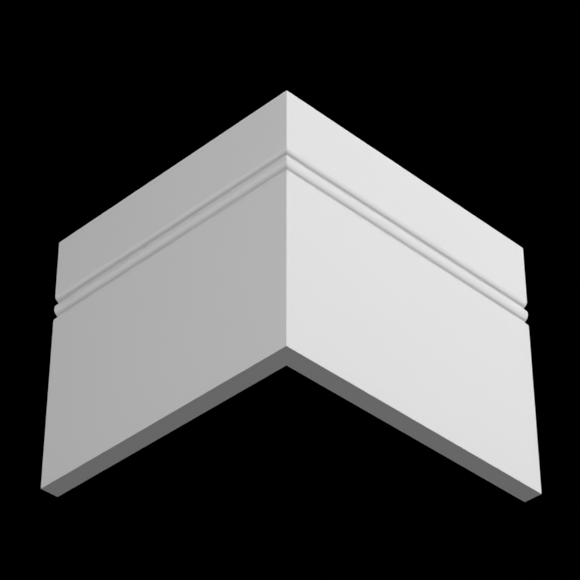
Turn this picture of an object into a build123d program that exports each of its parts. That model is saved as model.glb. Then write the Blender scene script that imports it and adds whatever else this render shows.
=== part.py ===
from build123d import *
from math import cos, radians, sin, tan
import os

# An outside corner of flat skirting: two lengths of one moulded board, mitred where they meet,
# that wrap the corner of a wall and stand on the floor.
# The origin is the foot of the wall's corner. The right board lies along +X on the wall face y = 0,
# the left board along the other wall face, which is x = 0 at a square corner, and +Z is up.

# Board stock
board_height = 170.0
board_thickness = 12.0
top_arris_radius = 0.4

# Face lengths, from the corner's ridge to the square end
right_face_length = 196.4
left_face_length = 188.9

# Angle between the two wall faces, measured through the wall
wall_corner_angle = 90.0

# Moulding: a rounded bead between two grooves, its crown flush with the face
bead_below_top = 48.5
bead_crown_width = 0.15
bead_radius = 4.7
shoulder_radius = 3.6
groove_depth = 3.5
groove_flank_angle = 56.0
groove_root_radius = 0.3

# Heights of the moulding above the floor. The flanks would meet in a point at groove_depth,
# and the sharp corners of groove and bead are rounded afterwards.
flank = radians(groove_flank_angle)
groove_half_width = groove_depth / tan(flank)
bead_half_width = bead_crown_width / 2 + bead_radius * tan(flank / 2)
bead_height = board_height - bead_below_top
lower_groove_height = bead_height - bead_half_width - groove_half_width
upper_groove_height = bead_height + bead_half_width + groove_half_width
groove_root = board_thickness - groove_depth

# Section of the board: X is the distance out from the wall, Y the height above the floor
with BuildSketch() as section:
    with BuildLine():
        FilletPolyline(
            (0, 0),
            (board_thickness, 0),
            (board_thickness, lower_groove_height - groove_half_width),
            (groove_root, lower_groove_height),
            (board_thickness, bead_height - bead_half_width),
            (board_thickness, bead_height + bead_half_width),
            (groove_root, upper_groove_height),
            (board_thickness, upper_groove_height + groove_half_width),
            (board_thickness, board_height),
            (0, board_height),
            radius=[
                0,
                0,
                shoulder_radius,
                groove_root_radius,
                bead_radius,
                bead_radius,
                groove_root_radius,
                shoulder_radius,
                top_arris_radius,
                0,
            ],
            close=True,
        )
    make_face()

# The mitre plane halves the corner. Its normal points into the right board.
half_corner = radians(wall_corner_angle / 2)
mitre_plane = Plane(origin=(0, 0, 0), z_dir=(sin(half_corner), -cos(half_corner), 0))

# Distance that a face reaches past the wall's corner, to the ridge
ridge_reach = board_thickness / tan(half_corner)

# Right board: run from its square end to the ridge, then mitred
right_end_plane = Plane(
    origin=(right_face_length - ridge_reach, 0, 0),
    x_dir=(0, -1, 0),
    z_dir=(-1, 0, 0),
)
with BuildPart() as right_board:
    with BuildSketch(right_end_plane):
        add(section.sketch)
    extrude(amount=right_face_length)
    split(bisect_by=mitre_plane, keep=Keep.TOP)

# Left board: run from the ridge to its square end, then mitred
left_wall = Vector(cos(2 * half_corner), sin(2 * half_corner), 0)
left_outward = Vector(-sin(2 * half_corner), cos(2 * half_corner), 0)
left_ridge_plane = Plane(
    origin=left_wall * -ridge_reach,
    x_dir=left_outward,
    z_dir=left_wall,
)
with BuildPart() as left_board:
    with BuildSketch(left_ridge_plane):
        add(section.sketch)
    extrude(amount=left_face_length)
    split(bisect_by=mitre_plane, keep=Keep.BOTTOM)

os.makedirs("parts", exist_ok=True)
right_board.part.label = "right_board"
export_step(right_board.part, "parts/right_board.step")
left_board.part.label = "left_board"
export_step(left_board.part, "parts/left_board.step")
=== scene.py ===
from math import pi, radians, tan

import bpy
import numpy as np
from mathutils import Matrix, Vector


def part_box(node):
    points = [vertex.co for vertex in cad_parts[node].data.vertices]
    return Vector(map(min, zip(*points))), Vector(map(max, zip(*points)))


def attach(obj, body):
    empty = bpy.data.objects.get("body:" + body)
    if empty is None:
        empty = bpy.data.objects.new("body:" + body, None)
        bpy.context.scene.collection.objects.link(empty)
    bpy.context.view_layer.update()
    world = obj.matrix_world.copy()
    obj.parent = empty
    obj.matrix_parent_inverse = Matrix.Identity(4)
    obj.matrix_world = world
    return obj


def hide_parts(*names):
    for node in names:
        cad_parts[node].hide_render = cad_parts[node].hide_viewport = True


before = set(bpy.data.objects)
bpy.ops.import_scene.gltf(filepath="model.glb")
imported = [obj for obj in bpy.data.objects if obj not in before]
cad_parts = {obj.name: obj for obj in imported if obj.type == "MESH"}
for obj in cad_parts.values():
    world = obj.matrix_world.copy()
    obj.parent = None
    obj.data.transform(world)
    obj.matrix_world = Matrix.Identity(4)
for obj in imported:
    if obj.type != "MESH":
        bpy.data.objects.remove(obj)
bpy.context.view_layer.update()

# An outside corner of painted skirting: two mitred lengths of one moulded board.
# Metres throughout. The origin is the foot of the wall's corner, the right board runs along +X,
# the left board along +Y, and both faces look outwards, along -Y and -X.

rightLow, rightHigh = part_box("right_board")
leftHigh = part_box("left_board")[1]
boardHeight = rightHigh.z
boardThickness = -rightLow.y
print("frame loaded, board height", round(boardHeight, 4), "thickness", round(boardThickness, 4))


# Camera, looking up at the ridge from below

cameraView = {
    "place": (-0.678772, -0.681325, -0.674293),
    "tilt": 126.887,             # degrees from straight down
    "turn": -45.0,               # degrees round the upright, half way between the two faces
    "lens": 144.86,              # mm, on a sensor 36 mm wide
    "sensor": 36.0,
    "nearest": 0.01,             # metres, the range that it sees
    "farthest": 100.0,
}

cameraData = bpy.data.cameras.new("camera")
cameraData.lens = cameraView["lens"]
cameraData.sensor_width = cameraView["sensor"]
cameraData.clip_start = cameraView["nearest"]
cameraData.clip_end = cameraView["farthest"]
camera = bpy.data.objects.new("camera", cameraData)
camera.location = cameraView["place"]
camera.rotation_euler = (radians(cameraView["tilt"]), 0.0, radians(cameraView["turn"]))
bpy.context.scene.collection.objects.link(camera)
bpy.context.scene.camera = camera
bpy.context.scene.view_settings.view_transform = "Standard"
print("camera placed")


# Small helpers for node trees

def newNode(tree, kind, **settings):
    node = tree.nodes.new(kind)
    for key, value in settings.items():
        setattr(node, key, value)
    return node


def join(tree, source, target):
    tree.links.new(source, target)


def setOrJoin(tree, value, target):
    # The value is a socket, or a plain number or colour
    if isinstance(value, (int, float, tuple)):
        target.default_value = value
    else:
        join(tree, value, target)


def mathNode(tree, operation, first, second=0.0):
    node = newNode(tree, "ShaderNodeMath", operation=operation)
    setOrJoin(tree, first, node.inputs[0])
    setOrJoin(tree, second, node.inputs[1])
    return node.outputs[0]


def smoothStep(tree, value, start, end):
    # 0 below the start, 1 past the end, and a soft S between them
    node = newNode(tree, "ShaderNodeMapRange", interpolation_type="SMOOTHSTEP")
    join(tree, value, node.inputs["Value"])
    node.inputs["From Min"].default_value = start
    node.inputs["From Max"].default_value = end
    return node.outputs["Result"]


def mixedColour(tree, share, first, second):
    # The first colour at a share of 0, the second at 1. The node's colour sockets have the same
    # names as its others, so they are taken by place.
    node = newNode(tree, "ShaderNodeMix", data_type="RGBA")
    join(tree, share, node.inputs["Factor"])
    setOrJoin(tree, first, node.inputs[6])
    setOrJoin(tree, second, node.inputs[7])
    return node.outputs[2]


def mixedShader(tree, share, first, second):
    node = newNode(tree, "ShaderNodeMixShader")
    join(tree, share, node.inputs["Fac"])
    join(tree, first.outputs[0], node.inputs[1])
    join(tree, second.outputs[0], node.inputs[2])
    return node


def noise(tree, vector, scale, detail):
    node = newNode(tree, "ShaderNodeTexNoise")
    join(tree, vector, node.inputs["Vector"])
    node.inputs["Scale"].default_value = scale
    node.inputs["Detail"].default_value = detail
    return node.outputs["Fac"]


def seenRay(tree):
    # 1 for rays that show a surface: camera, glossy and transmission rays; 0 for rays that light it
    path = newNode(tree, "ShaderNodeLightPath")
    shown = mathNode(tree, "MAXIMUM", path.outputs["Is Camera Ray"], path.outputs["Is Glossy Ray"])
    return mathNode(tree, "MAXIMUM", shown, path.outputs["Is Transmission Ray"])


# World: a weak even light for everything, and a studio that is pale towards the horizon and goes
# dark both overhead and underneath

studio = {
    "ambient": 0.012,            # strength of the even light
    "ambientColour": (1.0, 1.0, 1.0, 1.0),
    "horizonColour": (0.80, 0.80, 0.80, 1.0),
    "steepColour": (0.0, 0.0, 0.0, 1.0),
    "fadeFrom": 0.08,            # upright part of the direction, up or down, where the dark starts
    "fadeTo": 0.34,              # and where it is complete
}

world = bpy.data.worlds.new("studio")
bpy.context.scene.world = world
world.use_nodes = True
tree = world.node_tree
tree.nodes.clear()
direction = newNode(tree, "ShaderNodeTexCoord")
parts = newNode(tree, "ShaderNodeSeparateXYZ")
join(tree, direction.outputs["Generated"], parts.inputs[0])
steepness = mathNode(tree, "ABSOLUTE", parts.outputs["Z"])
dark = smoothStep(tree, steepness, studio["fadeFrom"], studio["fadeTo"])
shade = mixedColour(tree, dark, studio["horizonColour"], studio["steepColour"])
shownSky = newNode(tree, "ShaderNodeBackground")
join(tree, shade, shownSky.inputs["Color"])
lightingSky = newNode(tree, "ShaderNodeBackground")
lightingSky.inputs["Strength"].default_value = studio["ambient"]
lightingSky.inputs["Color"].default_value = studio["ambientColour"]
sky = mixedShader(tree, seenRay(tree), lightingSky, shownSky)
skyOut = newNode(tree, "ShaderNodeOutputWorld")
join(tree, sky.outputs[0], skyOut.inputs["Surface"])
print("world made")


# Floor: pale, seen from above only, and clear to the rays that light the object, so that the low lamp
# reaches it. Near the object it is matt and takes the shadow, and farther out it turns into the
# studio's plain backdrop.

floorValues = {
    "halfWidth": 8.0,
    "height": 0.0002,            # just above the boards' undersides, so that it never covers them
    "colour": (0.72, 0.72, 0.72, 1.0),
    "roughness": 0.9,
    "backdropFrom": 0.35,        # metres from the object where the backdrop starts
    "backdropTo": 0.95,          # and where it is complete
    "backdropStrength": 1.0,
}


def addFloor():
    reach = floorValues["halfWidth"]
    level = floorValues["height"]
    corners = [(-reach, -reach, level), (reach, -reach, level), (reach, reach, level), (-reach, reach, level)]
    mesh = bpy.data.meshes.new("floor")
    mesh.from_pydata(corners, [], [(0, 1, 2, 3)])
    mesh.materials.append(floorMaterial())
    plane = bpy.data.objects.new("floor", mesh)
    bpy.context.scene.collection.objects.link(plane)
    return plane


def floorMaterial():
    # Clear to the rays that light things and from below. Seen from above it is matt, and a smooth
    # step of the distance from the origin turns it into plain emission.
    material = bpy.data.materials.new("paleFloor")
    material.use_nodes = True
    material.cycles.emission_sampling = "NONE"
    tree = material.node_tree
    tree.nodes.clear()
    matt = newNode(tree, "ShaderNodeBsdfDiffuse")
    matt.inputs["Color"].default_value = floorValues["colour"]
    matt.inputs["Roughness"].default_value = floorValues["roughness"]
    backdrop = newNode(tree, "ShaderNodeEmission")
    backdrop.inputs["Color"].default_value = studio["horizonColour"]
    backdrop.inputs["Strength"].default_value = floorValues["backdropStrength"]
    place = newNode(tree, "ShaderNodeTexCoord")
    distance = newNode(tree, "ShaderNodeVectorMath", operation="LENGTH")
    join(tree, place.outputs["Object"], distance.inputs[0])
    start, end = floorValues["backdropFrom"], floorValues["backdropTo"]
    farOut = smoothStep(tree, distance.outputs["Value"], start, end)
    seenFloor = mixedShader(tree, farOut, matt, backdrop)

    side = newNode(tree, "ShaderNodeNewGeometry")
    fromAbove = mathNode(tree, "SUBTRACT", 1.0, side.outputs["Backfacing"])
    shown = mathNode(tree, "MULTIPLY", seenRay(tree), fromAbove)
    clear = newNode(tree, "ShaderNodeBsdfTransparent")
    surface = mixedShader(tree, shown, clear, seenFloor)
    output = newNode(tree, "ShaderNodeOutputMaterial")
    join(tree, surface.outputs[0], output.inputs["Surface"])
    return material


floor = addFloor()
print("floor made")


# Lamps: a soft one in front of each face, a distant one below, and broad ones overhead and behind

lampTarget = (0.0, 0.0, boardHeight / 2)
lamps = {
    "rightFaceLamp": {"place": (0.568, -1.439, 0.618), "size": 0.5, "power": 21.43},
    "leftFaceLamp": {"place": (-1.533, -0.491, 0.116), "size": 0.4, "power": 14.45},
    "lowLamp": {"place": (-0.468, -0.815, -3.656), "size": 0.5, "power": 23.2},
    "overheadLamp": {"place": (0.85, 0.85, 2.2), "size": 1.5, "power": 26.0},
    "backLamp": {"place": (1.5, 1.6, 1.5), "size": 1.4, "power": 34.0},
}


def addLamp(name, values):
    # A square area lamp that looks half way up the corner
    data = bpy.data.lights.new(name, "AREA")
    data.shape = "SQUARE"
    data.size = values["size"]
    data.energy = values["power"]
    lamp = bpy.data.objects.new(name, data)
    lamp.location = values["place"]
    lamp.rotation_euler = (Vector(lampTarget) - lamp.location).to_track_quat("-Z", "Y").to_euler()
    lamp.visible_camera = False
    bpy.context.scene.collection.objects.link(lamp)


for lampName, lampValues in lamps.items():
    addLamp(lampName, lampValues)
print("lamps made", len(lamps))


# Section of the board

moulding = {
    "beadBelowTop": 0.0485,      # from the top down to the middle of the bead
    "beadCrownWidth": 0.00015,
    "beadRadius": 0.0047,
    "shoulderRadius": 0.0036,
    "grooveDepth": 0.0035,       # to the point where the flanks would meet
    "grooveFlankAngle": 56.0,    # degrees between a flank and the board's face
    "grooveRootRadius": 0.00105,  # rounder than the bare board's, because paint gathers there
    "topArrisRadius": 0.0004,
    "easedCorner": 0.0001,       # the square corners, which the paint just softens
    "stepsPerCorner": 16,
}


def roundedOutline(corners, radii, steps):
    # Each corner becomes an arc. With n1 and n2 the outward normals of the lines that meet there,
    # centre = corner - turn * radius * (n1 + n2) / (1 + n1 . n2), and the arc's points are
    # centre + turn * radius * n, where n swings evenly from n1 to n2. Turn is -1 in a hollow.
    along = corners - np.roll(corners, 1, axis=0)
    along = along / np.linalg.norm(along, axis=1, keepdims=True)
    after = np.roll(along, -1, axis=0)
    normalBefore = np.stack([along[:, 1], -along[:, 0]], axis=1)
    normalAfter = np.stack([after[:, 1], -after[:, 0]], axis=1)
    cross = along[:, 0] * after[:, 1] - along[:, 1] * after[:, 0]
    dot = (along * after).sum(axis=1)
    reach = np.sign(cross) * radii
    centre = corners - (reach / (1 + dot))[:, None] * (normalBefore + normalAfter)
    startAngle = np.arctan2(normalBefore[:, 1], normalBefore[:, 0])
    swing = np.arctan2(cross, dot)
    angle = startAngle[:, None] + swing[:, None] * np.linspace(0, 1, steps + 1)
    normals = np.stack([np.cos(angle), np.sin(angle)], axis=-1)
    points = centre[:, None, :] + reach[:, None, None] * normals
    return points.reshape(-1, 2), normals.reshape(-1, 2)


def boardSection():
    # First column: distance out from the wall. Second column: height. It runs out along the foot,
    # up the face and back along the top.
    flank = radians(moulding["grooveFlankAngle"])
    grooveHalf = moulding["grooveDepth"] / tan(flank)
    beadHalf = moulding["beadCrownWidth"] / 2 + moulding["beadRadius"] * tan(flank / 2)
    beadMiddle = boardHeight - moulding["beadBelowTop"]
    lowerGroove = beadMiddle - beadHalf - grooveHalf
    upperGroove = beadMiddle + beadHalf + grooveHalf
    face = boardThickness
    root = face - moulding["grooveDepth"]
    corners = np.array([
        (0.0, 0.0),
        (face, 0.0),
        (face, lowerGroove - grooveHalf),
        (root, lowerGroove),
        (face, beadMiddle - beadHalf),
        (face, beadMiddle + beadHalf),
        (root, upperGroove),
        (face, upperGroove + grooveHalf),
        (face, boardHeight),
        (0.0, boardHeight),
    ])
    eased = moulding["easedCorner"]
    shoulder = moulding["shoulderRadius"]
    hollow = moulding["grooveRootRadius"]
    bead = moulding["beadRadius"]
    arris = moulding["topArrisRadius"]
    radii = np.array([eased, eased, shoulder, hollow, bead, bead, hollow, shoulder, arris, eased])
    return roundedOutline(corners, radii, moulding["stepsPerCorner"])


# Boards: the section carried along the run, from the mitre to the square end.
# Each ring gives its points' run, their distance out, their height, and their normals in that order.

boardEnds = {
    "ridgeRadius": 0.00012,      # rounding of the ridge where the two faces meet
    "mitreLineDepth": 0.00006,   # hairline along the mitre on the top
    "endRadius": 0.00008,        # rounding of the sawn end's edges, less than easedCorner
    "arcSteps": 6,
    "ringsAlongRun": 10,
}


def mitreRings(outline, normal):
    # At the mitre, o + s = 0, with s the run and o the distance out. There the ridge is an eighth of
    # a circle of radius r: at angle a, o' = o - r (1 - cos a) o / thickness and
    # s = r (cos a - sin a) - o', for a from 45 degrees to 0. The hairline is a straight slope: the top
    # falls towards the mitre over the ridge radius.
    out, height = outline[:, 0], outline[:, 1]
    ridge = boardEnds["ridgeRadius"]
    lineDepth = boardEnds["mitreLineDepth"]
    angle = np.linspace(pi / 4, 0, boardEnds["arcSteps"] + 1)[:, None]
    outwards = out - ridge * (1 - np.cos(angle)) * out / boardThickness
    gap = ridge * (np.cos(angle) - np.sin(angle))
    onTop = np.where(height > boardHeight - 2 * moulding["topArrisRadius"], np.maximum(normal[:, 1], 0), 0)
    fall = lineDepth * np.clip(1 - gap / ridge, 0, 1) * onTop
    slope = lineDepth / ridge * onTop * (angle > 0)
    normals = np.stack([
        -np.maximum(normal[:, 0], 0) * np.sin(angle) - slope,
        np.where(normal[:, 0] > 0, normal[:, 0] * np.cos(angle), normal[:, 0]) - slope,
        np.broadcast_to(normal[:, 1], outwards.shape),
    ], axis=-1)
    return gap - outwards, outwards, height - fall, normals


def middleRings(outline, normal, runStop):
    # Evenly spaced, between the ridge's rounding and the sawn end's
    share = np.linspace(0, 1, boardEnds["ringsAlongRun"] + 2)[1:-1, None]
    runStart = boardEnds["ridgeRadius"] - outline[:, 0]
    run = runStart + (runStop - runStart) * share
    outwards = np.broadcast_to(outline[:, 0], run.shape)
    upwards = np.broadcast_to(outline[:, 1], run.shape)
    normals = np.stack([
        np.zeros_like(run),
        np.broadcast_to(normal[:, 0], run.shape),
        np.broadcast_to(normal[:, 1], run.shape),
    ], axis=-1)
    return run, outwards, upwards, normals


def endRings(outline, normal, runStop):
    # A quarter circle of radius r takes each point in along its normal n: at angle b,
    # p' = p - n r (1 - cos b) and s = stop + r sin b, for b from 0 to 90 degrees
    turn = np.linspace(0, pi / 2, boardEnds["arcSteps"] + 1)[:, None]
    inset = boardEnds["endRadius"] * (1 - np.cos(turn))
    outwards = outline[:, 0] - normal[:, 0] * inset
    upwards = outline[:, 1] - normal[:, 1] * inset
    run = np.broadcast_to(runStop + boardEnds["endRadius"] * np.sin(turn), outwards.shape)
    normals = np.stack([
        np.broadcast_to(np.sin(turn), outwards.shape),
        normal[:, 0] * np.cos(turn),
        normal[:, 1] * np.cos(turn),
    ], axis=-1)
    return run, outwards, upwards, normals


def sweptBoard(name, runEnd, place, flip):
    # Place turns run, out and height into X, Y and Z. Flip turns the faces round where that would
    # leave them looking inwards.
    outline, normal = boardSection()
    runStop = runEnd - boardEnds["endRadius"]
    stretches = (
        mitreRings(outline, normal),
        middleRings(outline, normal, runStop),
        endRings(outline, normal, runStop),
    )
    run, outwards, upwards, normals = (np.concatenate(kind) for kind in zip(*stretches))
    normals = normals / np.linalg.norm(normals, axis=-1, keepdims=True)
    points = place(run, outwards, upwards).reshape(-1, 3)
    normals = place(normals[..., 0], normals[..., 1], normals[..., 2]).reshape(-1, 3)

    # Faces: quads between neighbouring rings, then one flat face on the mitre and one on the sawn end
    rings, count = run.shape
    ringAt = np.arange(rings - 1)[:, None] * count
    here = np.arange(count)
    nextOne = (here + 1) % count
    quads = np.stack([
        ringAt + here,
        ringAt + count + here,
        ringAt + count + nextOne,
        ringAt + nextOne,
    ], axis=-1).reshape(-1, 4)
    mitreFace = here
    sawnFace = ((rings - 1) * count + here)[::-1]

    # UV map: the ring's run, taken at the back of the foot, and the distance round the section
    stepLength = np.linalg.norm(np.roll(outline, -1, axis=0) - outline, axis=1)
    around = np.concatenate([[0], np.cumsum(stepLength)])
    low, high, near, far = np.broadcast_arrays(run[:-1, :1], run[1:, :1], around[:-1], around[1:])
    quadUV = np.stack([
        np.stack([low, near], axis=-1),
        np.stack([high, near], axis=-1),
        np.stack([high, far], axis=-1),
        np.stack([low, far], axis=-1),
    ], axis=2).reshape(-1, 4, 2)
    if flip:
        quads = quads[:, ::-1]
        quadUV = quadUV[:, ::-1]
        mitreFace = mitreFace[::-1]
        sawnFace = sawnFace[::-1]

    mesh = bpy.data.meshes.new(name)
    mesh.from_pydata(points.tolist(), [], quads.tolist() + [mitreFace.tolist(), sawnFace.tolist()])
    mesh.polygons.foreach_set("use_smooth", np.ones(len(mesh.polygons), dtype=bool))
    capUV = outline[np.concatenate([mitreFace, sawnFace]) % count]
    uv = mesh.uv_layers.new(name="run")
    uv.data.foreach_set("uv", np.concatenate([quadUV.reshape(-1, 2), capUV]).ravel())

    # For the paint: 1 on the sawn end's face, and how deep each corner of the sides lies in a groove, which
    # sets the painted shade there.
    # The top, the foot and the back don't look outwards, and there the depth is 0.
    sawn = np.zeros(len(mesh.polygons))
    sawn[-1] = 1.0
    looksOut = normal[:, 0] > 0.001
    depth = np.where(looksOut, boardThickness - outline[:, 0], 0)
    depthAtCorners = np.concatenate([np.tile(depth, rings)[quads.ravel()], np.zeros(2 * count)])
    mesh.attributes.new("sawnEnd", "FLOAT", "FACE").data.foreach_set("value", sawn)
    mesh.attributes.new("depth", "FLOAT", "CORNER").data.foreach_set("value", depthAtCorners)

    mitreNormal = place(np.array(-1.0), np.array(-1.0), np.array(0.0)) / 2 ** 0.5
    sawnNormal = place(np.array(1.0), np.array(0.0), np.array(0.0))
    cornerNormals = np.concatenate([
        normals[quads.ravel()],
        np.tile(mitreNormal, (count, 1)),
        np.tile(sawnNormal, (count, 1)),
    ])
    mesh.normals_split_custom_set(cornerNormals.tolist())
    mesh.update()

    board = bpy.data.objects.new(name, mesh)
    bpy.context.scene.collection.objects.link(board)
    return board


def alongX(run, out, up):
    return np.stack([run, -out, up], axis=-1)


def alongY(run, out, up):
    return np.stack([-out, run, up], axis=-1)


rightBoard = sweptBoard("painted_right_board", rightHigh.x, alongX, False)
leftBoard = sweptBoard("painted_left_board", leftHigh.y, alongY, True)
print("boards made", len(rightBoard.data.vertices), "and", len(leftBoard.data.vertices), "vertices")


# Matt white paint: nearly even in tone, with painted shade deep in the grooves, and a roller's fine stipple
# over the cutter's long faint lines

paintValues = {
    "lighter": (0.808, 0.808, 0.808, 1.0),
    "darker": (0.792, 0.792, 0.792, 1.0),
    "toneScale": 14.0,           # patches per metre
    "toneDetail": 6.0,
    # painted shade: a darker grey deep in the grooves, standing in for the shade that falls in the recess
    "paintedGrooveShade": (0.666, 0.666, 0.666, 1.0),
    "grooveShadeFrom": 0.0012,    # depth in a groove where the painted shade starts
    "grooveShadeTo": 0.00215,     # and where it is complete
    "roughness": 0.62,
    "specular": 0.35,
    "stippleScale": 1100.0,      # grains per metre
    "stippleDetail": 2.0,
    "stippleHeight": 0.000004,
    "cutterScale": (6.0, 900.0, 1.0),    # lines per metre along the run and across the section
    "cutterHeight": 0.000002,
    "sawScale": (30.0, 1400.0, 1.0),     # lines per metre across and up the sawn end
    "sawHeight": 0.00001,
    "lineDetail": 1.0,
}


def lines(tree, place, scale):
    # Noise on the UV map, drawn out by a different scale each way
    stretch = newNode(tree, "ShaderNodeMapping")
    stretch.inputs["Scale"].default_value = scale
    join(tree, place.outputs["UV"], stretch.inputs["Vector"])
    return noise(tree, stretch.outputs[0], 1.0, paintValues["lineDetail"])


def paintMaterial():
    material = bpy.data.materials.new("mattWhitePaint")
    material.use_nodes = True
    tree = material.node_tree
    tree.nodes.clear()
    output = newNode(tree, "ShaderNodeOutputMaterial")
    paint = newNode(tree, "ShaderNodeBsdfPrincipled")
    paint.inputs["Roughness"].default_value = paintValues["roughness"]
    paint.inputs["Specular IOR Level"].default_value = paintValues["specular"]
    join(tree, paint.outputs[0], output.inputs["Surface"])
    place = newNode(tree, "ShaderNodeTexCoord")

    # Tone: two greys mixed by slow noise, and painted shade deep in the grooves: a darker grey mixed in by a
    # smooth step of the depth
    tone = noise(tree, place.outputs["Object"], paintValues["toneScale"], paintValues["toneDetail"])
    greys = mixedColour(tree, tone, paintValues["darker"], paintValues["lighter"])
    below = newNode(tree, "ShaderNodeAttribute", attribute_name="depth")
    deep = smoothStep(tree, below.outputs["Fac"], paintValues["grooveShadeFrom"], paintValues["grooveShadeTo"])
    colour = mixedColour(tree, deep, greys, paintValues["paintedGrooveShade"])
    join(tree, colour, paint.inputs["Base Color"])

    # Height: stipple and the cutter's lines everywhere + saw lines on the end only
    stipple = noise(tree, place.outputs["Object"], paintValues["stippleScale"], paintValues["stippleDetail"])
    stippleHeight = mathNode(tree, "MULTIPLY", stipple, paintValues["stippleHeight"])
    cutter = lines(tree, place, paintValues["cutterScale"])
    cutterHeight = mathNode(tree, "MULTIPLY", cutter, paintValues["cutterHeight"])
    saw = lines(tree, place, paintValues["sawScale"])
    onEnd = newNode(tree, "ShaderNodeAttribute", attribute_name="sawnEnd")
    sawHeight = mathNode(tree, "MULTIPLY", saw, paintValues["sawHeight"])
    sawHeight = mathNode(tree, "MULTIPLY", sawHeight, onEnd.outputs["Fac"])
    height = mathNode(tree, "ADD", stippleHeight, cutterHeight)
    height = mathNode(tree, "ADD", height, sawHeight)
    bump = newNode(tree, "ShaderNodeBump")
    bump.inputs["Strength"].default_value = 1.0
    bump.inputs["Distance"].default_value = 1.0
    join(tree, height, bump.inputs["Height"])
    join(tree, bump.outputs[0], paint.inputs["Normal"])
    return material


paint = paintMaterial()
for board, node in ((rightBoard, "right_board"), (leftBoard, "left_board")):
    board.data.materials.append(paint)
    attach(board, "root")
    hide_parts(node)
print("paint on")
